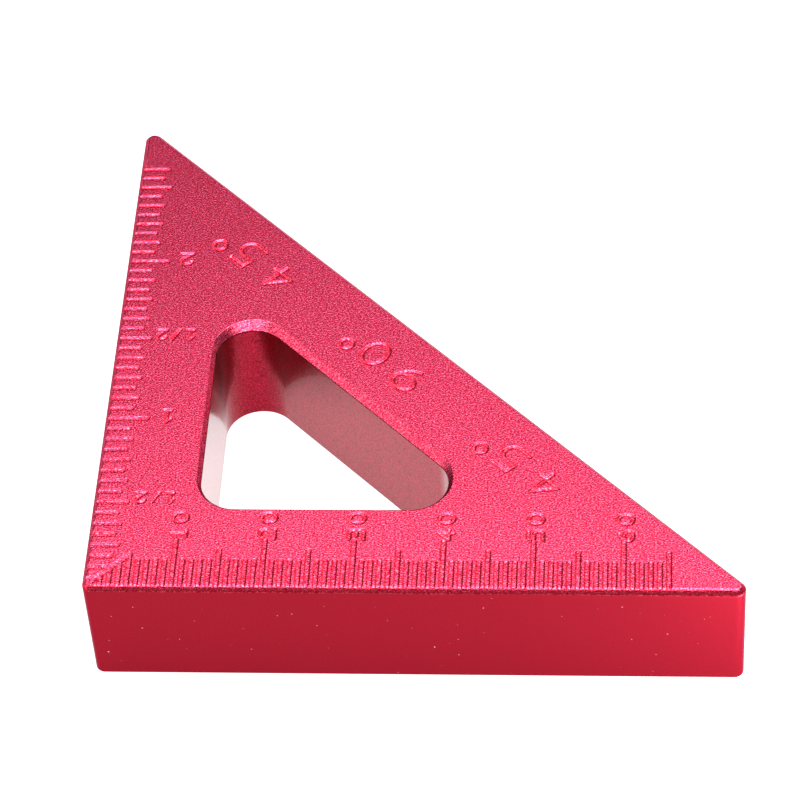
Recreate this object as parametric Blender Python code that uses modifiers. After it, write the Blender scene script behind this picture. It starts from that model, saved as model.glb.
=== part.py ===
"""Small triangle square: one machined aluminium plate, 75 mm on each short side.

The right-angled corner lies at the front left. The millimetre scale runs along the front
edge (+X) and the inch scale along the left edge (+Y). A mitre line leaves the corner at
45 degrees, angle marks run along the long side, and a rounded triangular pocket goes
right through. The origin is the centre of the plate's bounding box, on its lower face.
"""
from math import acos, atan2, ceil, cos, pi, sin, sqrt

import bmesh
import bpy
from mathutils import Vector

MM = 0.001
INCH = 25.4 * MM

# Plate
LEG = 75.0 * MM                 # short side, measured to the sharp corners
THICKNESS = 15.0 * MM
CORNER_RADIUS = 1.1 * MM        # upright edges at the three corners
TOP_CHAMFER = 0.55 * MM
BOTTOM_CHAMFER = 0.15 * MM

# Pocket through the plate
POCKET_MARGIN = 12.0 * MM       # width of material left along each side
POCKET_RADIUS = 4.2 * MM
RIM_CHAMFER = 0.55 * MM
RIM_SHIFT_Y = 0.25 * MM         # the chamfering pass sits a little off the pocket

# Engraved grooves: flat floor and sloping sides
GROOVE_WIDTH = 0.70 * MM
GROOVE_FLOOR = 0.40 * MM
GROOVE_DEPTH = 0.12 * MM
NUMERAL_WIDTH = 0.60 * MM
NUMERAL_FLOOR = 0.32 * MM

# Millimetre scale: where the grooves end, measured from the front edge
MM_TICKS = 65
MM_TICK_LONG = 7.55 * MM
MM_TICK_MEDIUM = 6.1 * MM
MM_TICK_SHORT = 4.6 * MM

# Inch scale in sixteenths: where the grooves end, measured from the left edge
INCH_TICKS = 42
INCH_STEP = INCH / 16
INCH_TICK_WHOLE = 5.25 * MM
INCH_TICK_HALF = 4.3 * MM
INCH_TICK_EIGHTH = 3.8 * MM
INCH_TICK_SIXTEENTH = 3.3 * MM

MITRE_END = 5.0 * MM            # the mitre line stops at this distance along both scales

# Numerals: overall width and height of one digit
TENS_SIZE = (2.05 * MM, 2.3 * MM)
TENS_CENTRE = 8.1 * MM          # from the front edge
ZERO_CENTRE = 10.5 * MM
TENS_OFFSET = 0.2 * MM          # numerals sit slightly past their groove
WHOLE_SIZE = (2.0 * MM, 2.4 * MM)
WHOLE_CENTRE = 7.2 * MM         # from the left edge
WHOLE_OFFSET = 0.45 * MM
HALF_SIZE = (1.65 * MM, 2.1 * MM)
HALF_CENTRES = (8.75 * MM, 7.05 * MM, 5.4 * MM)
HALF_OFFSET = 0.7 * MM

# Angle marks along the long side
ANGLE_SIZE = (3.5 * MM, 4.2 * MM)
ANGLE_INSET = 6.0 * MM          # from the long side to the middle of the digits
ANGLE_PITCH = 5.6 * MM
ANGLE_GROUPS = (("45", -20.5 * MM), ("90", 2.5 * MM), ("45", 25.5 * MM))
LOOPED = "069"                  # digits whose first stroke is a closed loop
DEGREE_RADIUS = 0.75 * MM
DEGREE_STEP = 3.6 * MM          # from the last digit to its degree ring
DEGREE_RISE = 1.35 * MM

ARC_STEP = pi / 8               # largest turn between two points of a rounded corner
GLYPH_STEP = pi / 5
CAP_STEPS = 4                   # facets on the round end of a groove
OVERSHOOT = 1.0 * MM            # how far a cutter runs past the face it cuts
GROOVE_OVERSHOOT = 0.05 * MM

BOX_SIDE = LEG - sqrt(2) * CORNER_RADIUS
PLATE_CORNERS = ((0, 0), (LEG, 0), (0, LEG))
POCKET_LEG = LEG - (2 + sqrt(2)) * POCKET_MARGIN
POCKET_CORNERS = (
    (POCKET_MARGIN, POCKET_MARGIN),
    (POCKET_MARGIN + POCKET_LEG, POCKET_MARGIN),
    (POCKET_MARGIN, POCKET_MARGIN + POCKET_LEG),
)

RIGHT_ANGLE = pi / 2
MILLIMETRE_TOPS = pi            # direction of a digit's top on the millimetre scale
INCH_TOPS = -pi / 2             # the same on the inch scale
ANGLE_TOPS = -3 * pi / 4        # the same on the angle marks

WELD_DISTANCE = 0.01 * MM
FLAT_ANGLE = 0.001              # faces that meet at less than this are one flat face
ROUNDING = 1e-6

RED = (0.80, 0.045, 0.10, 1.0)
METALLIC = 0.85
ROUGHNESS = 0.42


def clear_scene():
    for obj in list(bpy.data.objects):
        bpy.data.objects.remove(obj, do_unlink=True)


def new_collection(name):
    collection = bpy.data.collections.new(name)
    bpy.context.scene.collection.children.link(collection)
    return collection


def arc(centre, radius_x, radius_y, start, end, step):
    """Points along an ellipse, from one angle to another."""
    count = max(1, ceil(abs(end - start) / step - ROUNDING))
    angles = [start + (end - start) * i / count for i in range(count + 1)]
    return [(centre[0] + radius_x * cos(a), centre[1] + radius_y * sin(a)) for a in angles]


def corner_arcs(corners, radius):
    """Centre and outward direction of each point round a triangle's three round corners."""
    points = []
    for i, corner in enumerate(corners):
        point = Vector(corner)
        arriving = (point - Vector(corners[i - 1])).normalized()
        leaving = (Vector(corners[(i + 1) % 3]) - point).normalized()
        turn = acos(arriving.dot(leaving))
        centre = point + (leaving - arriving).normalized() * radius / cos(turn / 2)
        start = atan2(-arriving.x, arriving.y)
        count = ceil(turn / ARC_STEP - ROUNDING)
        for step in range(count + 1):
            angle = start + turn * step / count
            points.append((centre, Vector((cos(angle), sin(angle)))))
    return points


def rounded_triangle(corners, radius):
    """Counter-clockwise outline with round corners."""
    return [tuple(centre + outward * radius) for centre, outward in corner_arcs(corners, radius)]


def to_box(point):
    """Plate coordinates, from the sharp right-angled corner, to the part's own frame."""
    return (point[0] - BOX_SIDE / 2, point[1] - BOX_SIDE / 2)


def add_wall(bm, lower, upper):
    """Faces between two closed loops of vertices."""
    for i in range(len(lower)):
        j = (i + 1) % len(lower)
        bm.faces.new((lower[i], lower[j], upper[j], upper[i]))


def add_prism(bm, lower, upper, z_lower, z_upper):
    """Closed solid between two outlines that have the same number of points."""
    low = [bm.verts.new((*to_box(p), z_lower)) for p in lower]
    high = [bm.verts.new((*to_box(p), z_upper)) for p in upper]
    add_wall(bm, low, high)
    bm.faces.new(reversed(low))
    bm.faces.new(high)


def add_ring(bm, inner, outer, z_lower, z_upper):
    """Closed ring whose inner and outer walls each run between two outlines."""
    loops = []
    corners = ((inner[0], z_lower), (outer[0], z_lower), (outer[1], z_upper), (inner[1], z_upper))
    for outline, z in corners:
        loops.append([bm.verts.new((*to_box(p), z)) for p in outline])
    for near, far in zip(loops, loops[1:] + loops[:1]):
        add_wall(bm, near, far)


def side_points(path, half_width, closed):
    """The two lines that run beside a path, half_width to its left and right."""
    left = []
    right = []
    last = len(path) - 1
    for i, point in enumerate(path):
        before = path[i - 1] if closed or i > 0 else point
        after = path[(i + 1) % len(path)] if closed or i < last else point
        arriving = Vector((point[0] - before[0], point[1] - before[1])).normalized()
        leaving = Vector((after[0] - point[0], after[1] - point[1])).normalized()
        along = (arriving + leaving).normalized()
        stretch = along.dot(leaving if i < last or closed else arriving)
        normal = Vector((-along.y, along.x)) * half_width / stretch
        left.append((point[0] + normal.x, point[1] + normal.y))
        right.append((point[0] - normal.x, point[1] - normal.y))
    return left, right


def round_cap(point, neighbour, half_width):
    """Points round the end of a path, from its right side to its left, ends left out."""
    heading = atan2(point[1] - neighbour[1], point[0] - neighbour[0])
    cap = arc(point, half_width, half_width, heading - RIGHT_ANGLE, heading + RIGHT_ANGLE, pi / CAP_STEPS)
    return cap[1:-1]


def ribbon(path, half_width):
    """Counter-clockwise outline of a stroke with round ends."""
    left, right = side_points(path, half_width, False)
    end_cap = round_cap(path[-1], path[-2], half_width)
    start_cap = round_cap(path[0], path[1], half_width)
    return right + end_cap + left[::-1] + start_cap


def add_groove(bm, path, width, floor, closed=False):
    """Cutter for one engraved stroke, wider at the surface than at its floor."""
    slope = (width - floor) / (2 * GROOVE_DEPTH)
    low_half = floor / 2
    high_half = width / 2 + slope * GROOVE_OVERSHOOT
    z_lower = THICKNESS - GROOVE_DEPTH
    z_upper = THICKNESS + GROOVE_OVERSHOOT
    if closed:
        low_left, low_right = side_points(path, low_half, True)
        high_left, high_right = side_points(path, high_half, True)
        add_ring(bm, (low_left, high_left), (low_right, high_right), z_lower, z_upper)
    else:
        add_prism(bm, ribbon(path, low_half), ribbon(path, high_half), z_lower, z_upper)


def glyph(symbol):
    """Strokes of a symbol in a box one unit wide and one unit high, overlaps kept apart."""
    if symbol == "0":
        return [arc((0.5, 0.5), 0.5, 0.5, 0, 2 * pi, pi / 6)[:-1]]
    if symbol == "1":
        return [[(0.5, 0), (0.5, 1)], [(0.15, 0.72), (0.5, 1)], [(0.2, 0), (0.8, 0)]]
    if symbol == "2":
        curl = arc((0.5, 0.68), 0.46, 0.32, pi * 0.9, -pi * 0.28, GLYPH_STEP)
        return [curl + [(0.02, 0)], [(0.02, 0), (1, 0)]]
    if symbol == "3":
        upper = arc((0.62, 0.75), 0.32, 0.25, pi / 2, -pi / 2, GLYPH_STEP)
        lower = arc((0.66, 0.25), 0.34, 0.25, pi / 2, -pi / 2, GLYPH_STEP)
        return [[(0.05, 1)] + upper, [(0.35, 0.5)] + lower + [(0, 0)]]
    if symbol == "4":
        return [[(0.68, 0), (0.68, 1)], [(0.68, 1), (0, 0.3)], [(0, 0.3), (1, 0.3)]]
    if symbol == "5":
        bowl = arc((0.6, 0.31), 0.38, 0.31, pi / 2, -pi / 2, GLYPH_STEP)
        return [[(0.1, 0.62)] + bowl + [(0.02, 0)], [(0.1, 0.62), (0.14, 1)], [(0.14, 1), (0.92, 1)]]
    if symbol == "6":
        loop = arc((0.5, 0.31), 0.5, 0.31, 0, 2 * pi, GLYPH_STEP)[:-1]
        return [loop, arc((1, 0.31), 1, 0.69, pi, pi * 0.6, GLYPH_STEP / 1.5)]
    if symbol == "9":
        return [[(1 - u, 1 - v) for u, v in stroke] for stroke in glyph("6")]
    if symbol == "/":
        return [[(0.1, 0), (0.9, 1)]]
    raise ValueError(symbol)


def place(stroke, size, stroke_width, centre, up):
    """Scale a stroke to a digit's overall size and turn its top to the up direction."""
    reading = Vector((cos(up - RIGHT_ANGLE), sin(up - RIGHT_ANGLE)))
    top = Vector((cos(up), sin(up)))
    width = size[0] - stroke_width
    height = size[1] - stroke_width
    placed = []
    for u, v in stroke:
        point = Vector(centre) + reading * (u - 0.5) * width + top * (v - 0.5) * height
        placed.append(tuple(point))
    return placed


def write(layers, symbol, size, centre, up):
    """Add a symbol's strokes to the engraving layers, one stroke to each layer."""
    for layer, stroke in enumerate(glyph(symbol)):
        path = place(stroke, size, NUMERAL_WIDTH, centre, up)
        closed = layer == 0 and symbol in LOOPED
        add_groove(layers[layer], path, NUMERAL_WIDTH, NUMERAL_FLOOR, closed)


def tick_end(groove_end):
    """Centre of a groove's round end, for a groove that ends at a given distance."""
    return groove_end - GROOVE_WIDTH / 2


def millimetre_length(number):
    if number <= MITRE_END / MM:
        return number * MM
    if number % 10 == 0:
        return tick_end(MM_TICK_LONG)
    if number % 5 == 0:
        return tick_end(MM_TICK_MEDIUM)
    return tick_end(MM_TICK_SHORT)


def sixteenth_length(number):
    if number % 16 == 0:
        length = INCH_TICK_WHOLE
    elif number % 8 == 0:
        length = INCH_TICK_HALF
    elif number % 2 == 0:
        length = INCH_TICK_EIGHTH
    else:
        length = INCH_TICK_SIXTEENTH
    return min(tick_end(length), number * INCH_STEP)


def engrave_millimetres(bm):
    for number in range(1, MM_TICKS + 1):
        x = number * MM
        add_groove(bm, [(x, -OVERSHOOT), (x, millimetre_length(number))], GROOVE_WIDTH, GROOVE_FLOOR)


def engrave_inches(bm):
    for number in range(1, INCH_TICKS + 1):
        y = number * INCH_STEP
        add_groove(bm, [(-OVERSHOOT, y), (sixteenth_length(number), y)], GROOVE_WIDTH, GROOVE_FLOOR)


def engrave_mitre(bm):
    add_groove(bm, [(-OVERSHOOT, -OVERSHOOT), (MITRE_END, MITRE_END)], GROOVE_WIDTH, GROOVE_FLOOR)


def engrave_millimetre_numerals(layers):
    for tens in range(1, 7):
        x = tens * 10 * MM + TENS_OFFSET
        write(layers, str(tens), TENS_SIZE, (x, TENS_CENTRE), MILLIMETRE_TOPS)
        write(layers, "0", TENS_SIZE, (x, ZERO_CENTRE), MILLIMETRE_TOPS)


def engrave_inch_numerals(layers):
    for whole in (1, 2):
        y = whole * INCH + WHOLE_OFFSET
        write(layers, str(whole), WHOLE_SIZE, (WHOLE_CENTRE, y), INCH_TOPS)
        y = (whole - 0.5) * INCH + HALF_OFFSET
        for symbol, x in zip("1/2", HALF_CENTRES):
            write(layers, symbol, HALF_SIZE, (x, y), INCH_TOPS)


def engrave_angle_marks(layers):
    reading = Vector((-1, 1)).normalized()
    top = Vector((-1, -1)).normalized()
    middle = Vector((LEG / 2, LEG / 2)) + top * ANGLE_INSET
    for digits, along in ANGLE_GROUPS:
        first = middle + reading * (along - DEGREE_STEP / 2 - ANGLE_PITCH / 2)
        second = first + reading * ANGLE_PITCH
        ring_centre = second + reading * DEGREE_STEP + top * DEGREE_RISE
        write(layers, digits[0], ANGLE_SIZE, first, ANGLE_TOPS)
        write(layers, digits[1], ANGLE_SIZE, second, ANGLE_TOPS)
        ring = arc(ring_centre, DEGREE_RADIUS, DEGREE_RADIUS, 0, 2 * pi, GLYPH_STEP)
        add_groove(layers[0], ring[:-1], NUMERAL_WIDTH, NUMERAL_FLOOR, True)


def mesh_object(name, bm, collection):
    bmesh.ops.recalc_face_normals(bm, faces=bm.faces)
    mesh = bpy.data.meshes.new(name)
    bm.to_mesh(mesh)
    bm.free()
    obj = bpy.data.objects.new(name, mesh)
    collection.objects.link(obj)
    return obj


def plate_blank(collection):
    """The plate's outline as a flat curve, thickened, then made a mesh."""
    curve = bpy.data.curves.new("plate_outline", "CURVE")
    curve.dimensions = "2D"
    curve.fill_mode = "BOTH"
    curve.extrude = THICKNESS / 2
    outline = rounded_triangle(PLATE_CORNERS, CORNER_RADIUS)
    spline = curve.splines.new("POLY")
    spline.points.add(len(outline) - 1)
    for target, point in zip(spline.points, outline):
        target.co = (*to_box(point), 0, 1)
    spline.use_cyclic_u = True
    source = bpy.data.objects.new("plate_outline", curve)
    source.location.z = THICKNESS / 2
    collection.objects.link(source)
    bpy.context.view_layer.update()
    evaluated = source.evaluated_get(bpy.context.evaluated_depsgraph_get())
    mesh = bpy.data.meshes.new_from_object(evaluated)
    plate = bpy.data.objects.new("square_body", mesh)
    plate.matrix_world = source.matrix_world
    collection.objects.link(plate)
    bpy.data.objects.remove(source, do_unlink=True)
    return plate


def chamfer_edges(plate):
    """Weld the caps, make each cap one face and weight its border for the bevel."""
    bm = bmesh.new()
    bm.from_mesh(plate.data)
    bmesh.ops.remove_doubles(bm, verts=bm.verts, dist=WELD_DISTANCE)
    bmesh.ops.dissolve_limit(bm, angle_limit=FLAT_ANGLE, verts=bm.verts, edges=bm.edges)
    weights = bm.edges.layers.float.new("bevel_weight_edge")
    for edge in bm.edges:
        heights = {round(vert.co.z / THICKNESS, 3) for vert in edge.verts}
        if heights == {0.5}:
            edge[weights] = 1.0
        elif heights == {-0.5}:
            edge[weights] = BOTTOM_CHAMFER / TOP_CHAMFER
    bm.to_mesh(plate.data)
    bm.free()
    bevel = plate.modifiers.new("edge_chamfers", "BEVEL")
    bevel.limit_method = "WEIGHT"
    bevel.width = TOP_CHAMFER
    bevel.segments = 1


def make_cutter(name, bm, collection):
    cutter = mesh_object(name, bm, collection)
    cutter.hide_render = True
    cutter.display_type = "WIRE"
    return cutter


def pocket_cutter(collection):
    """Plug for the pocket, flared at both ends to chamfer its rims."""
    corners = corner_arcs(POCKET_CORNERS, POCKET_RADIUS)
    rim = [RIM_CHAMFER + RIM_SHIFT_Y * outward.y for centre, outward in corners]
    sections = (
        [(BOTTOM_CHAMFER + OVERSHOOT, -OVERSHOOT) for chamfer in rim],
        [(0.0, BOTTOM_CHAMFER) for chamfer in rim],
        [(0.0, THICKNESS - chamfer) for chamfer in rim],
        [(chamfer + OVERSHOOT, THICKNESS + OVERSHOOT) for chamfer in rim],
    )
    bm = bmesh.new()
    loops = []
    for section in sections:
        loop = []
        for (centre, outward), (grow, z) in zip(corners, section):
            loop.append(bm.verts.new((*to_box(centre + outward * (POCKET_RADIUS + grow)), z)))
        loops.append(loop)
    for lower, upper in zip(loops, loops[1:]):
        add_wall(bm, lower, upper)
    bm.faces.new(reversed(loops[0]))
    bm.faces.new(loops[-1])
    return make_cutter("pocket_cutter", bm, collection)


def engraving_cutters(collection):
    """Cutters that overlap are kept in separate objects."""
    makers = (
        ("millimetre_cutter", engrave_millimetres),
        ("inch_cutter", engrave_inches),
        ("mitre_cutter", engrave_mitre),
    )
    cutters = []
    for name, engrave in makers:
        bm = bmesh.new()
        engrave(bm)
        cutters.append(make_cutter(name, bm, collection))
    layers = [bmesh.new() for _ in range(3)]
    engrave_millimetre_numerals(layers)
    engrave_inch_numerals(layers)
    engrave_angle_marks(layers)
    for number, bm in enumerate(layers, 1):
        cutters.append(make_cutter(f"numeral_cutter_{number}", bm, collection))
    return cutters


def cut(plate, cutter):
    boolean = plate.modifiers.new(cutter.name, "BOOLEAN")
    boolean.operation = "DIFFERENCE"
    boolean.solver = "EXACT"
    boolean.object = cutter


def anodised_red():
    material = bpy.data.materials.new("anodised_red")
    material.use_nodes = True
    shader = material.node_tree.nodes["Principled BSDF"]
    shader.inputs["Base Color"].default_value = RED
    shader.inputs["Metallic"].default_value = METALLIC
    shader.inputs["Roughness"].default_value = ROUGHNESS
    return material


def build():
    clear_scene()
    parts = new_collection("triangle_square")
    cutters = new_collection("cutters")
    plate = plate_blank(parts)
    chamfer_edges(plate)
    cut(plate, pocket_cutter(cutters))
    for cutter in engraving_cutters(cutters):
        cut(plate, cutter)
    plate.data.materials.append(anodised_red())


build()
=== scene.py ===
from math import acos, atan2, ceil, cos, pi, radians, sin, sqrt

import bmesh
import bpy
from mathutils import Euler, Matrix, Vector


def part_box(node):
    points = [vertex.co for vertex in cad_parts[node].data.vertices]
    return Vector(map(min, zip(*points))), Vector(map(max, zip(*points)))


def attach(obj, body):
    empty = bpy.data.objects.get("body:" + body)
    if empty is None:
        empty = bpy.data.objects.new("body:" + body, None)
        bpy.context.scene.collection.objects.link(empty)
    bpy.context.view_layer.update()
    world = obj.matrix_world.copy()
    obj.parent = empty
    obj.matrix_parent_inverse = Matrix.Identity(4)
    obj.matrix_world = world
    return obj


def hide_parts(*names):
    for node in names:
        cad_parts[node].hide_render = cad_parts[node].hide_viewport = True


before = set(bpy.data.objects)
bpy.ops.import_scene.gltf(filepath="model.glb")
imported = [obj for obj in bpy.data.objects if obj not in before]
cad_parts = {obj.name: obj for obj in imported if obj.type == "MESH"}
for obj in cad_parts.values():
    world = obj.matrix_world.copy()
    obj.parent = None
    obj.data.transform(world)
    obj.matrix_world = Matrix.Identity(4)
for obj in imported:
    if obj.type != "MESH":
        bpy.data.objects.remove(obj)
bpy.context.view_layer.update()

# Looks of the small triangle square: a finer mesh of the plate with rolled edges and round
# engraving, its blasted and satin anodised finishes, a pale floor, soft light and the camera.

LOW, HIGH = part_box("square_body")

MM = 0.001
INCH = 25.4 * MM

# Plate; its outer size comes from the frame
THICKNESS = HIGH.z - LOW.z
CORNER_RADIUS = 1.1 * MM        # upright edges at the three corners
LEG = HIGH.x - LOW.x + sqrt(2) * CORNER_RADIUS      # short side, to its sharp corners
TOP_CHAMFER = 0.55 * MM
BOTTOM_CHAMFER = 0.15 * MM
EDGE_ROLL = 0.12 * MM           # radius that softens a chamfer along the left and long sides
FRONT_ROLL = 0.35 * MM          # the same along the front
CAP_INSET = 1.09 * MM           # where the flat upper and lower faces begin

# Pocket
POCKET_MARGIN = 12.0 * MM       # width of the bands round it
POCKET_RADIUS = 4.2 * MM
RIM_CHAMFER = 0.55 * MM
RIM_SHIFT_Y = 0.25 * MM         # the far rim is this much deeper, the near rim shallower
RIM_SPREAD = 0.34 * MM          # added width of the flatter far rim
RIM_ROLL = 0.12 * MM
RIM_LIP = 0.2 * MM              # how far the cutter widens just above the rim
RIM_LIP_RISE = 0.02 * MM

# Engraving
GROOVE_WIDTH = 0.78 * MM
GROOVE_FLOOR = 0.30 * MM        # width of its floor
GROOVE_DEPTH = 0.12 * MM
FLOOR_BEND = 0.9 * MM           # where a tick's floor begins to turn down to the edge
DEPTH_STEP = 0.003 * MM         # keeps the floors of crossing grooves apart
NUMERAL_WIDTH = 0.68 * MM
NUMERAL_FLOOR = 0.10 * MM
WALL_ROWS = 5                   # rows of faces up a groove's curved wall
WALL_SHARE = 0.94               # part of the wall's curve that lies below the surface
LIP_SPREAD = 0.012 * MM         # how far a cutter widens above the surface
MM_TICKS = 65
MM_TICK_LONG = 7.55 * MM        # how far a tick reaches, from the edge
MM_TICK_MEDIUM = 6.1 * MM
MM_TICK_SHORT = 4.6 * MM
INCH_TICKS = 42
INCH_STEP = INCH / 16
INCH_TICK_WHOLE = 5.25 * MM
INCH_TICK_HALF = 4.3 * MM
INCH_TICK_EIGHTH = 3.8 * MM
INCH_TICK_SIXTEENTH = 3.3 * MM
MITRE_END = 5.0 * MM
TENS_SIZE = (2.05 * MM, 2.3 * MM)
TENS_CENTRE = 8.1 * MM          # from the front edge
ZERO_CENTRE = 10.5 * MM
TENS_OFFSET = 0.2 * MM          # to the right of the tick
WHOLE_SIZE = (2.0 * MM, 2.4 * MM)
WHOLE_CENTRE = 7.2 * MM         # from the left edge
WHOLE_OFFSET = 0.45 * MM        # beyond the tick
HALF_SIZE = (1.65 * MM, 2.1 * MM)
HALF_CENTRES = (8.75 * MM, 7.05 * MM, 5.4 * MM)
HALF_OFFSET = 0.7 * MM
ANGLE_SIZE = (3.5 * MM, 4.2 * MM)
ANGLE_INSET = 6.0 * MM          # from the long edge
ANGLE_PITCH = 5.6 * MM          # from one digit to the next
ANGLE_GROUPS = (("45", -20.5 * MM), ("90", 2.5 * MM), ("45", 25.5 * MM))    # place along it
LOOPED = "069"                  # symbols whose first stroke is a closed loop
DEGREE_RADIUS = 0.75 * MM
DEGREE_STEP = 3.6 * MM
DEGREE_RISE = 1.35 * MM

# Finish
GRAIN_SCALE = 5800.0            # grains per metre
GRAIN_RANGE = (0.3, 0.7)
GRAIN_STRETCH = (0.8, 1.25, 1.0)
GRAIN_DEPTH = 0.012 * MM
SATIN_DEPTH = 0.004 * MM
BLASTED_ROUGHNESS = 0.26
SATIN_ROUGHNESS = 0.25
POCKET_ROUGHNESS = 0.30
BLASTED = ((0.22, 0.000, 0.006), (0.300, 0.014, 0.043), (0.43, 0.100, 0.165))
# painted light and shade: the blasted red made brighter and more saturated for chamfers and
# groove walls, standing in for how tilted faces are lit and for the deep red of light bounced
# inside the grooves
ENGRAVED_PAINTED_LIGHT_AND_SHADE = ((0.38, 0.003, 0.014), (0.52, 0.018, 0.045), (0.75, 0.080, 0.120))
# painted light: a paler copy of the blasted red for the chamfers at the pocket's rims and along
# the left and long edges
RIM_PAINTED_LIGHT = ((0.24, 0.002, 0.012), (0.36, 0.022, 0.056), (0.54, 0.110, 0.170))
SATIN = ((0.226, 0.0072, 0.0155), (0.254, 0.0105, 0.0215))
# painted light: a brighter, deeper copy of the satin red for the walls inside the pocket, making
# up for the shade there
POCKET_PAINTED_LIGHT = ((0.12, 0.000, 0.002), (0.27, 0.002, 0.016), (0.43, 0.012, 0.045))
EDGE_TINT = (0.7, 0.5, 0.54)
CLEAR = (1, 1, 1)
POCKET_COAT = 1.0
POCKET_COAT_ROUGHNESS = 0.1
POCKET_COAT_IOR = 1.105
DUST = (0.7, 0.4, 0.4)
DUST_SCALE = 3000.0
DUST_RANGE = (0.84, 0.88)

# Which material a face gets
FLAT_NORMAL_Z = 0.99            # least upward part of the normal on the flat faces
CHAMFER_NORMAL_Z = 0.4          # the same on chamfers and engraving
RIM_REACH = 1.3 * MM            # how far the pocket's rim spreads over the bands

# Floor, light and camera
FLOOR_RADIUS = 3.0
FLOOR_SIDES = 96
FLOOR_GAP = 0.05 * MM
FLOOR_ROUGHNESS = 0.9
FLOOR_WHITE = 0.2
FLOOR_GLOW = 1.05
WORLD_STRENGTH = 0.48
MIDDLE = (0, 0, 0)
LIGHTS = (                      # name, place, aim, size and radiance
    ("overhead", (0.0, 0.0, 0.6), MIDDLE, (0.6, 0.6), 12.0),
    ("back", (0.05, 0.34, 0.61), MIDDLE, (0.5, 0.36), 2.1),
    ("left", (-0.6, -0.09, 0.38), MIDDLE, (0.45, 0.45), 2.8),
    ("side", (0.43, 0.47, 0.28), MIDDLE, (0.4, 0.3), 1.5),
    ("right", (0.075, -0.075, 0.013), (0.075, -0.075, 0), (0.03, 0.03), 700.0),
    ("horizon", (0.26, 0.74, 0.2), MIDDLE, (0.3, 0.36), 4.0),
)
CAMERA_PLACE = (0.02752, -0.28596, 0.31909)
CAMERA_TURN = (42.486, 2.969, 2.975)                # degrees
CAMERA_LENS = 161.08
CAMERA_SENSOR = 36.0
CAMERA_CLIP = (0.01, 20.0)

# Fineness and shading
ARC_STEP = pi / 32
GLYPH_STEP = pi / 14
CAP_STEPS = 10
ROLL_STEPS = 4
LEAST_TURN = 0.2                # radians; keeps a nearly straight bend from shrinking to nothing
MOST_REACH = 0.48               # part of a profile's side that one bend may take up
OVERSHOOT = 1.0 * MM
GROOVE_OVERSHOOT = 0.04 * MM
WELD_DISTANCE = 0.0001 * MM
SHARP_ANGLE = radians(40)
LEVEL_NORMAL_Z = 0.9999         # above this, a face lies level
FRONT_NORMAL_X = 0.05           # below this, a face doesn't turn sideways

PLATE_CORNERS = ((0, 0), (LEG, 0), (0, LEG))
POCKET_LEG = LEG - (2 + sqrt(2)) * POCKET_MARGIN
POCKET_CORNERS = (
    (POCKET_MARGIN, POCKET_MARGIN),
    (POCKET_MARGIN + POCKET_LEG, POCKET_MARGIN),
    (POCKET_MARGIN, POCKET_MARGIN + POCKET_LEG),
)

# Directions in which the tops of the numerals point
MILLIMETRE_UP = pi
INCH_UP = -pi / 2
ANGLE_UP = -3 * pi / 4


def arc(centre, radius_x, radius_y, start, end, step):
    """Points along an ellipse, from one angle to another."""
    count = max(1, ceil(abs(end - start) / step - 1e-6))
    angles = [start + (end - start) * i / count for i in range(count + 1)]
    return [(centre[0] + radius_x * cos(a), centre[1] + radius_y * sin(a)) for a in angles]


def corner_arcs(corners, radius):
    """Centre and outward direction of each point round a triangle's three round corners."""
    points = []
    for i, corner in enumerate(corners):
        point = Vector(corner)
        arriving = (point - Vector(corners[i - 1])).normalized()
        leaving = (Vector(corners[(i + 1) % 3]) - point).normalized()
        turn = acos(arriving.dot(leaving))
        centre = point + (leaving - arriving).normalized() * radius / cos(turn / 2)
        start = atan2(-arriving.x, arriving.y)
        count = ceil(turn / ARC_STEP - 1e-6)
        for step in range(count + 1):
            angle = start + turn * step / count
            points.append((centre, Vector((cos(angle), sin(angle)))))
    return points


def rolled(profile, radius):
    """Profile with each of its inner points replaced by a smooth bend."""
    points = [profile[0]]
    for before, corner, after in zip(profile, profile[1:], profile[2:]):
        before, corner, after = Vector(before), Vector(corner), Vector(after)
        back = before - corner
        ahead = after - corner
        turn = back.angle(-ahead)
        longest = MOST_REACH * min(back.length, ahead.length)
        reach = min(radius * max(turn, LEAST_TURN), longest)
        start = corner + back.normalized() * reach
        end = corner + ahead.normalized() * reach
        for step in range(ROLL_STEPS + 1):
            t = step / ROLL_STEPS
            bend = start * (1 - t) ** 2 + corner * 2 * t * (1 - t) + end * t ** 2
            points.append(tuple(bend))
    points.append(profile[-1])
    return points


def to_box(point):
    """Plate coordinates, from the sharp right-angled corner, to the part's own frame."""
    return (point[0] + LOW.x, point[1] + LOW.y)


def add_loft(bm, loops):
    """Closed solid through a stack of loops of equal count. Returns the first loop's vertices."""
    rows = [[bm.verts.new(point) for point in loop] for loop in loops]
    for lower, upper in zip(rows, rows[1:]):
        for i in range(len(lower)):
            j = (i + 1) % len(lower)
            bm.faces.new((lower[i], lower[j], upper[j], upper[i]))
    bm.faces.new(reversed(rows[0]))
    bm.faces.new(rows[-1])
    return rows[0]


def rounded_solid(name, corners, radius, profile_at):
    """Round-cornered triangle lofted through a profile that may change with the direction.

    The profile is a list of (growth beyond the outline, height) from the bottom to the top.
    """
    stacks = []
    for centre, outward in corner_arcs(corners, radius):
        stack = []
        for growth, z in profile_at(outward):
            stack.append((*to_box(centre + outward * (radius + growth)), z + LOW.z))
        stacks.append(stack)
    bm = bmesh.new()
    add_loft(bm, list(zip(*stacks)))
    return mesh_object(name, bm)


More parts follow.
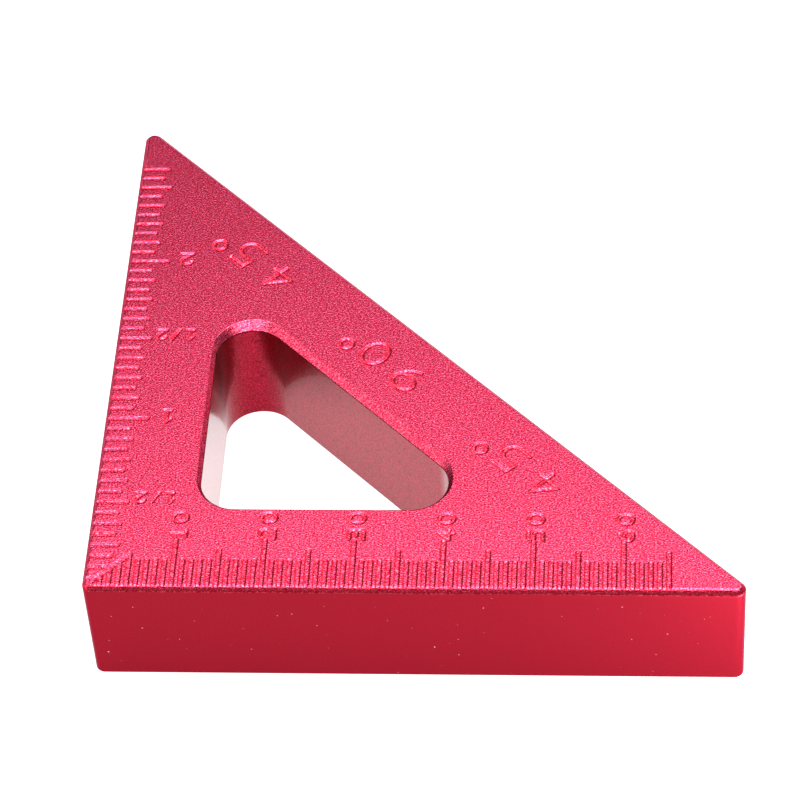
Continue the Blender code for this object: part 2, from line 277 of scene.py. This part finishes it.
def side_points(path, half_width, closed):
    """The two lines that run beside a path, half_width to its left and right."""
    left = []
    right = []
    last = len(path) - 1
    for i, point in enumerate(path):
        before = path[i - 1] if closed or i > 0 else point
        after = path[(i + 1) % len(path)] if closed or i < last else point
        arriving = Vector((point[0] - before[0], point[1] - before[1])).normalized()
        leaving = Vector((after[0] - point[0], after[1] - point[1])).normalized()
        along = (arriving + leaving).normalized()
        stretch = along.dot(leaving if i < last or closed else arriving)
        normal = Vector((-along.y, along.x)) * half_width / stretch
        left.append((point[0] + normal.x, point[1] + normal.y))
        right.append((point[0] - normal.x, point[1] - normal.y))
    return left, right


def round_cap(point, neighbour, half_width):
    """Points round the end of a path, from its right side to its left, ends left out."""
    heading = atan2(point[1] - neighbour[1], point[0] - neighbour[0])
    cap = arc(point, half_width, half_width, heading - pi / 2, heading + pi / 2, pi / CAP_STEPS)
    return cap[1:-1]


def ribbon(path, half_width):
    """Counter-clockwise outline of a stroke with round ends."""
    left, right = side_points(path, half_width, False)
    end_cap = round_cap(path[-1], path[-2], half_width)
    start_cap = round_cap(path[0], path[1], half_width)
    return right + end_cap + left[::-1] + start_cap


def wall_rows(width, floor, depth):
    """Half-width and height of each row up a groove's wall: round at the floor and the lip."""
    rows = []
    for step in range(WALL_ROWS + 1):
        share = WALL_SHARE * step / WALL_ROWS
        half = (floor + (width - floor) * share) / 2
        rise = (1 - cos(pi * share)) / 2
        rows.append((half, THICKNESS - depth * (1 - rise)))
    widest = rows[-1][0]
    rows.append((widest + LIP_SPREAD, THICKNESS + GROOVE_OVERSHOOT))
    return rows


def add_groove(bm, path, width, floor, depth, closed=False):
    """Cutter for one engraved stroke, wider at the surface than at its floor."""
    rows = wall_rows(width, floor, depth)
    if not closed:
        loops = [[(*to_box(p), z) for p in ribbon(path, half)] for half, z in rows]
        floor_row = add_loft(bm, loops)
        if len(path) == 3:      # split the floor across the path's middle point
            bmesh.ops.connect_verts(bm, verts=[floor_row[1], floor_row[CAP_STEPS + 3]])
        return
    left = []
    right = []
    for half, z in rows:
        inner, outer = side_points(path, half, True)
        left.append([bm.verts.new((*to_box(p), z)) for p in inner])
        right.append([bm.verts.new((*to_box(p), z)) for p in outer])
    section = left[::-1] + right
    for near, far in zip(section, section[1:] + section[:1]):
        for i in range(len(path)):
            j = (i + 1) % len(path)
            bm.faces.new((near[i], near[j], far[j], far[i]))


def glyph(symbol):
    """Strokes of a symbol in a box one unit wide and one unit high, overlaps kept apart."""
    if symbol == "0":
        return [arc((0.5, 0.5), 0.5, 0.5, 0, 2 * pi, GLYPH_STEP)[:-1]]
    if symbol == "1":
        return [[(0.5, 0), (0.5, 1)], [(0.15, 0.72), (0.5, 1)], [(0.2, 0), (0.8, 0)]]
    if symbol == "2":
        curl = arc((0.5, 0.68), 0.46, 0.32, pi * 0.9, -pi * 0.28, GLYPH_STEP)
        return [curl + [(0.02, 0)], [(0.02, 0), (1, 0)]]
    if symbol == "3":
        upper = arc((0.62, 0.75), 0.32, 0.25, pi / 2, -pi / 2, GLYPH_STEP)
        lower = arc((0.66, 0.25), 0.34, 0.25, pi / 2, -pi / 2, GLYPH_STEP)
        return [[(0.05, 1)] + upper, [(0.35, 0.5)] + lower + [(0, 0)]]
    if symbol == "4":
        return [[(0.68, 0), (0.68, 1)], [(0.66, 0.97), (0, 0.3)], [(0.03, 0.29), (1, 0.29)]]
    if symbol == "5":
        bowl = arc((0.6, 0.31), 0.38, 0.31, pi / 2, -pi / 2, GLYPH_STEP)
        stem = [(0.11, 0.64), (0.14, 1)]
        return [[(0.1, 0.62)] + bowl + [(0.02, 0)], stem, [(0.17, 0.99), (0.92, 0.99)]]
    if symbol == "6":
        loop = arc((0.5, 0.31), 0.5, 0.31, 0, 2 * pi, GLYPH_STEP)[:-1]
        return [loop, arc((1, 0.31), 1, 0.69, pi, pi * 0.6, GLYPH_STEP)]
    if symbol == "9":
        return [[(1 - u, 1 - v) for u, v in stroke] for stroke in glyph("6")]
    if symbol == "/":
        return [[(0.1, 0), (0.9, 1)]]
    raise ValueError(symbol)


def place(stroke, size, stroke_width, centre, up):
    """Scale a stroke to a digit's overall size and turn its top to the up direction."""
    reading = Vector((cos(up - pi / 2), sin(up - pi / 2)))
    top = Vector((cos(up), sin(up)))
    width = size[0] - stroke_width
    height = size[1] - stroke_width
    placed = []
    for u, v in stroke:
        point = Vector(centre) + reading * (u - 0.5) * width + top * (v - 0.5) * height
        placed.append(tuple(point))
    return placed


def write(layers, symbol, size, centre, up):
    """Add a symbol's strokes to the engraving layers, one stroke to each layer."""
    for layer, stroke in enumerate(glyph(symbol)):
        depth = GROOVE_DEPTH + (3 + layer) * DEPTH_STEP
        path = place(stroke, size, NUMERAL_WIDTH, centre, up)
        closed = layer == 0 and symbol in LOOPED
        add_groove(layers[layer], path, NUMERAL_WIDTH, NUMERAL_FLOOR, depth, closed)


def tick_end(groove_end):
    """Centre of a groove's round end, for a groove that ends at a given distance."""
    return groove_end - GROOVE_WIDTH / 2


def millimetre_length(number):
    """Where a millimetre tick's round end has its centre; the first ones stop at the mitre."""
    if number <= MITRE_END / MM:
        return number * MM
    if number % 10 == 0:
        return tick_end(MM_TICK_LONG)
    if number % 5 == 0:
        return tick_end(MM_TICK_MEDIUM)
    return tick_end(MM_TICK_SHORT)


def sixteenth_length(number):
    """The same for a tick of the inch scale, counted in sixteenths."""
    if number % 16 == 0:
        length = INCH_TICK_WHOLE
    elif number % 8 == 0:
        length = INCH_TICK_HALF
    elif number % 2 == 0:
        length = INCH_TICK_EIGHTH
    else:
        length = INCH_TICK_SIXTEENTH
    return min(tick_end(length), number * INCH_STEP)


def engrave_millimetres(bm):
    for number in range(1, MM_TICKS + 1):
        x = number * MM
        path = [(x, -OVERSHOOT), (x, FLOOR_BEND), (x, millimetre_length(number))]
        add_groove(bm, path, GROOVE_WIDTH, GROOVE_FLOOR, GROOVE_DEPTH)


def engrave_inches(bm):
    for number in range(1, INCH_TICKS + 1):
        y = number * INCH_STEP
        path = [(-OVERSHOOT, y), (sixteenth_length(number), y)]
        add_groove(bm, path, GROOVE_WIDTH, GROOVE_FLOOR, GROOVE_DEPTH + DEPTH_STEP)


def engrave_mitre(bm):
    path = [(-OVERSHOOT, -OVERSHOOT), (MITRE_END, MITRE_END)]
    add_groove(bm, path, GROOVE_WIDTH, GROOVE_FLOOR, GROOVE_DEPTH + 2 * DEPTH_STEP)


def engrave_millimetre_numerals(layers):
    for tens in range(1, 7):
        x = tens * 10 * MM + TENS_OFFSET
        write(layers, str(tens), TENS_SIZE, (x, TENS_CENTRE), MILLIMETRE_UP)
        write(layers, "0", TENS_SIZE, (x, ZERO_CENTRE), MILLIMETRE_UP)


def engrave_inch_numerals(layers):
    for whole in (1, 2):
        y = whole * INCH + WHOLE_OFFSET
        write(layers, str(whole), WHOLE_SIZE, (WHOLE_CENTRE, y), INCH_UP)
        y = (whole - 0.5) * INCH + HALF_OFFSET
        for symbol, x in zip("1/2", HALF_CENTRES):
            write(layers, symbol, HALF_SIZE, (x, y), INCH_UP)


def engrave_angle_marks(layers):
    reading = Vector((-1, 1)).normalized()
    top = Vector((-1, -1)).normalized()
    middle = Vector((LEG / 2, LEG / 2)) + top * ANGLE_INSET
    for digits, along in ANGLE_GROUPS:
        first = middle + reading * (along - DEGREE_STEP / 2 - ANGLE_PITCH / 2)
        second = first + reading * ANGLE_PITCH
        ring_centre = second + reading * DEGREE_STEP + top * DEGREE_RISE
        write(layers, digits[0], ANGLE_SIZE, first, ANGLE_UP)
        write(layers, digits[1], ANGLE_SIZE, second, ANGLE_UP)
        ring = arc(ring_centre, DEGREE_RADIUS, DEGREE_RADIUS, 0, 2 * pi, GLYPH_STEP)
        add_groove(layers[0], ring[:-1], NUMERAL_WIDTH, NUMERAL_FLOOR, GROOVE_DEPTH, True)


def mesh_object(name, bm):
    """Object made from a bmesh, which is freed."""
    bmesh.ops.recalc_face_normals(bm, faces=bm.faces)
    mesh = bpy.data.meshes.new(name)
    bm.to_mesh(mesh)
    bm.free()
    obj = bpy.data.objects.new(name, mesh)
    bpy.context.scene.collection.objects.link(obj)
    return obj


def plate_profile(outward):
    roll = EDGE_ROLL + (FRONT_ROLL - EDGE_ROLL) * max(-outward.y, 0)
    return rolled((
        (-CAP_INSET, 0),
        (-BOTTOM_CHAMFER, 0),
        (0, BOTTOM_CHAMFER),
        (0, THICKNESS - TOP_CHAMFER),
        (-TOP_CHAMFER, THICKNESS),
        (-CAP_INSET, THICKNESS),
    ), roll)


def pocket_profile(outward):
    """Flared at both ends, to chamfer the pocket's rims."""
    chamfer = RIM_CHAMFER + RIM_SHIFT_Y * outward.y
    flare = chamfer + RIM_SPREAD * max(outward.y, 0) ** 2
    return rolled((
        (BOTTOM_CHAMFER + OVERSHOOT, -OVERSHOOT),
        (0, BOTTOM_CHAMFER),
        (0, THICKNESS - chamfer),
        (flare, THICKNESS),
        (flare + RIM_LIP, THICKNESS + RIM_LIP_RISE),
        (flare + RIM_LIP, THICKNESS + OVERSHOOT),
    ), RIM_ROLL)


def engraving_cutters():
    """One object for each set of strokes that don't overlap one another."""
    cutters = []
    for engrave in (engrave_millimetres, engrave_inches, engrave_mitre):
        bm = bmesh.new()
        engrave(bm)
        cutters.append(mesh_object(engrave.__name__, bm))
    layers = [bmesh.new() for _ in range(3)]
    engrave_millimetre_numerals(layers)
    engrave_inch_numerals(layers)
    engrave_angle_marks(layers)
    for bm in layers:
        cutters.append(mesh_object("numeral_cutter", bm))
    return cutters


def cut(plate, cutters):
    """Subtract each cutter in turn and keep the result as the plate's own mesh."""
    for cutter in cutters:
        boolean = plate.modifiers.new(cutter.name, "BOOLEAN")
        boolean.operation = "DIFFERENCE"
        boolean.solver = "EXACT"
        boolean.object = cutter
    bpy.context.view_layer.update()
    evaluated = plate.evaluated_get(bpy.context.evaluated_depsgraph_get())
    mesh = bpy.data.meshes.new_from_object(evaluated)
    plate.modifiers.clear()
    plate.data = mesh
    for cutter in cutters:
        bpy.data.objects.remove(cutter, do_unlink=True)


def at_exit(edge, wall):
    """Whether an edge is where a tick's floor runs out over the plate's rounded front edge."""
    middle = (edge.verts[0].co + edge.verts[1].co) / 2 - LOW
    below_top = middle.z < THICKNESS - GROOVE_DEPTH / 2
    return below_top and middle.y < FLOOR_BEND and abs(wall.normal.x) < FRONT_NORMAL_X


def smooth_shade(plate):
    """Shade the rolled edges and the groove walls smooth while the flat faces stay flat."""
    bm = bmesh.new()
    bm.from_mesh(plate.data)
    bmesh.ops.remove_doubles(bm, verts=bm.verts, dist=WELD_DISTANCE)
    bmesh.ops.dissolve_degenerate(bm, edges=bm.edges, dist=WELD_DISTANCE)
    for face in bm.faces:
        face.smooth = True
    for edge in bm.edges:
        if len(edge.link_faces) != 2:
            continue
        steep, flat = sorted(edge.link_faces, key=lambda face: face.normal.z)
        edge.smooth = edge.calc_face_angle() < SHARP_ANGLE
        if flat.normal.z > LEVEL_NORMAL_Z > steep.normal.z and not at_exit(edge, steep):
            edge.smooth = False
    bm.to_mesh(plate.data)
    bm.free()
    weighted = plate.modifiers.new("weighted_normals", "WEIGHTED_NORMAL")
    weighted.mode = "FACE_AREA"
    weighted.weight = 100       # the larger face decides
    weighted.keep_sharp = True


def make_plate():
    plate = rounded_solid("anodised_plate", PLATE_CORNERS, CORNER_RADIUS, plate_profile)
    pocket = rounded_solid("pocket_cutter", POCKET_CORNERS, POCKET_RADIUS, pocket_profile)
    cut(plate, [pocket] + engraving_cutters())
    smooth_shade(plate)
    return plate


def node(tree, kind, **inputs):
    """New node; an input given as another node's output is linked, any other is set."""
    made = tree.nodes.new(kind)
    for name, value in inputs.items():
        socket = made.inputs[name.replace("_", " ")]
        if isinstance(value, bpy.types.NodeSocket):
            tree.links.new(value, socket)
        else:
            socket.default_value = value
    return made


def noise(tree, vector, scale, detail=2.0):
    made = node(tree, "ShaderNodeTexNoise", Vector=vector, Scale=scale, Detail=detail)
    return made.outputs["Fac"]


def remap(tree, value, low, high):
    """Value carried from a range to 0 to 1, and held at its ends."""
    made = node(tree, "ShaderNodeMapRange", Value=value, From_Min=low, From_Max=high)
    return made.outputs["Result"]


def ramp(tree, factor, colours):
    """Evenly spaced colours along a factor from 0 to 1."""
    made = node(tree, "ShaderNodeValToRGB", Fac=factor)
    stops = made.color_ramp.elements
    while len(stops) < len(colours):
        stops.new(0.5)
    for i, colour in enumerate(colours):
        stops[i].position = i / (len(colours) - 1)
        stops[i].color = (*colour, 1)
    return made.outputs["Color"]


def anodised(name, roughness, edge_tint):
    """Dyed anodised aluminium: the material, its node tree, shader and object coordinates."""
    material = bpy.data.materials.new(name)
    material.use_nodes = True
    tree = material.node_tree
    shader = tree.nodes["Principled BSDF"]
    shader.inputs["Metallic"].default_value = 1.0
    shader.inputs["Roughness"].default_value = roughness
    shader.inputs["Specular Tint"].default_value = (*edge_tint, 1)
    return material, tree, shader, tree.nodes.new("ShaderNodeTexCoord").outputs["Object"]


def grained(tree, shader, spot, depth, colours):
    """Tilt each grain of the surface, and return its colour."""
    grain = remap(tree, noise(tree, spot, GRAIN_SCALE), *GRAIN_RANGE)
    bump = node(tree, "ShaderNodeBump", Height=grain, Distance=depth)
    tree.links.new(bump.outputs["Normal"], shader.inputs["Normal"])
    return ramp(tree, grain, colours)


def blasted_red(name, colours):
    """Coarse blasted finish: each grain has its own tilt and tint."""
    material, tree, shader, spot = anodised(name, BLASTED_ROUGHNESS, EDGE_TINT)
    stretched = node(tree, "ShaderNodeMapping", Vector=spot, Scale=GRAIN_STRETCH)
    colour = grained(tree, shader, stretched.outputs["Vector"], GRAIN_DEPTH, colours)
    tree.links.new(colour, shader.inputs["Base Color"])
    return material


def satin_red():
    """Smooth milled walls, with a few specks of dust."""
    material, tree, shader, spot = anodised("satin_red", SATIN_ROUGHNESS, EDGE_TINT)
    clean = grained(tree, shader, spot, SATIN_DEPTH, SATIN)
    dust = remap(tree, noise(tree, spot, DUST_SCALE, 0.0), *DUST_RANGE)
    colour = node(tree, "ShaderNodeMixRGB", Fac=dust, Color1=clean, Color2=(*DUST, 1))
    tree.links.new(colour.outputs["Color"], shader.inputs["Base Color"])
    return material


def pocket_red_painted_light():
    """Paler milled walls of the pocket, under a clearer film; their base red is painted light, a
    brighter, deeper copy of the satin walls' red that makes up for the shade inside the pocket.
    """
    material, tree, shader, spot = anodised("pocket_red_painted_light", POCKET_ROUGHNESS, CLEAR)
    colour = grained(tree, shader, spot, SATIN_DEPTH, POCKET_PAINTED_LIGHT)
    tree.links.new(colour, shader.inputs["Base Color"])
    shader.inputs["Coat Weight"].default_value = POCKET_COAT
    shader.inputs["Coat Roughness"].default_value = POCKET_COAT_ROUGHNESS
    shader.inputs["Coat IOR"].default_value = POCKET_COAT_IOR
    return material


def paint(plate):
    """Blasted flat faces, a deeper red on chamfers and engraving, satin upright walls. The deeper
    red is painted light and shade for the tilted faces; the paler red on the pocket's rims and
    the left and long edges, and the brighter red of the walls inside the pocket, are painted
    light.
    """
    for material in (blasted_red("blasted_red", BLASTED), blasted_red("engraved_red_painted_light_and_shade", ENGRAVED_PAINTED_LIGHT_AND_SHADE),
                     blasted_red("rim_red_painted_light", RIM_PAINTED_LIGHT), satin_red(), pocket_red_painted_light()):
        plate.data.materials.append(material)
    blasted, engraved, rim, satin, pocket = range(5)
    for face in plate.data.polygons:
        level = abs(face.normal.z)
        x = face.center.x - LOW.x
        y = face.center.y - LOW.y
        to_edge = min(x, y, (LEG - x - y) / sqrt(2))
        if level > FLAT_NORMAL_Z:
            face.material_index = blasted
        elif level > CHAMFER_NORMAL_Z:
            # painted light: chamfers at the pocket's rims and along the left and long edges get a
            # paler copy of the blasted red
            at_pocket = to_edge > POCKET_MARGIN - RIM_REACH and y > POCKET_MARGIN
            at_border = to_edge < CAP_INSET < y
            # painted light and shade: the other chamfers and the groove walls get the brighter,
            # more saturated copy of the blasted red
            face.material_index = rim if at_pocket or at_border else engraved
        else:
            # painted light: upright walls inside the pocket get the brighter, deeper copy of the
            # satin red
            face.material_index = pocket if to_edge > POCKET_MARGIN / 2 else satin


def make_floor():
    bm = bmesh.new()
    bmesh.ops.create_circle(bm, cap_ends=True, radius=FLOOR_RADIUS, segments=FLOOR_SIDES)
    floor = mesh_object("floor", bm)
    floor.location.z = LOW.z - FLOOR_GAP
    material = bpy.data.materials.new("floor_paper")
    material.use_nodes = True
    shader = material.node_tree.nodes["Principled BSDF"]
    shader.inputs["Base Color"].default_value = (FLOOR_WHITE, FLOOR_WHITE, FLOOR_WHITE, 1)
    shader.inputs["Roughness"].default_value = FLOOR_ROUGHNESS
    shader.inputs["Specular IOR Level"].default_value = 0.0
    shader.inputs["Emission Color"].default_value = (1, 1, 1, 1)
    shader.inputs["Emission Strength"].default_value = FLOOR_GLOW
    floor.data.materials.append(material)


def area_light(name, location, aim, size, radiance):
    """Rectangular softbox with a given radiance, hidden from the camera itself."""
    light = bpy.data.lights.new(name, "AREA")
    light.shape = "RECTANGLE"
    light.size, light.size_y = size
    light.energy = radiance * pi * size[0] * size[1]
    lamp = bpy.data.objects.new(name, light)
    bpy.context.scene.collection.objects.link(lamp)
    lamp.location = location
    lamp.rotation_euler = (Vector(aim) - Vector(location)).to_track_quat("-Z", "Y").to_euler()
    lamp.visible_camera = False


def light_scene():
    world = bpy.data.worlds.new("studio")
    bpy.context.scene.world = world
    world.use_nodes = True
    background = world.node_tree.nodes["Background"]
    background.inputs["Color"].default_value = (1, 1, 1, 1)
    background.inputs["Strength"].default_value = WORLD_STRENGTH
    for light in LIGHTS:
        area_light(*light)


def make_camera():
    data = bpy.data.cameras.new("camera")
    data.lens = CAMERA_LENS
    data.sensor_width = CAMERA_SENSOR
    data.clip_start, data.clip_end = CAMERA_CLIP
    camera = bpy.data.objects.new("camera", data)
    bpy.context.scene.collection.objects.link(camera)
    camera.location = CAMERA_PLACE
    camera.rotation_euler = Euler([radians(angle) for angle in CAMERA_TURN], "XYZ")
    bpy.context.scene.camera = camera


bpy.context.scene.view_settings.view_transform = "Standard"
make_camera()
plate = make_plate()
paint(plate)
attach(plate, "root")
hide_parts("square_body")
make_floor()
light_scene()
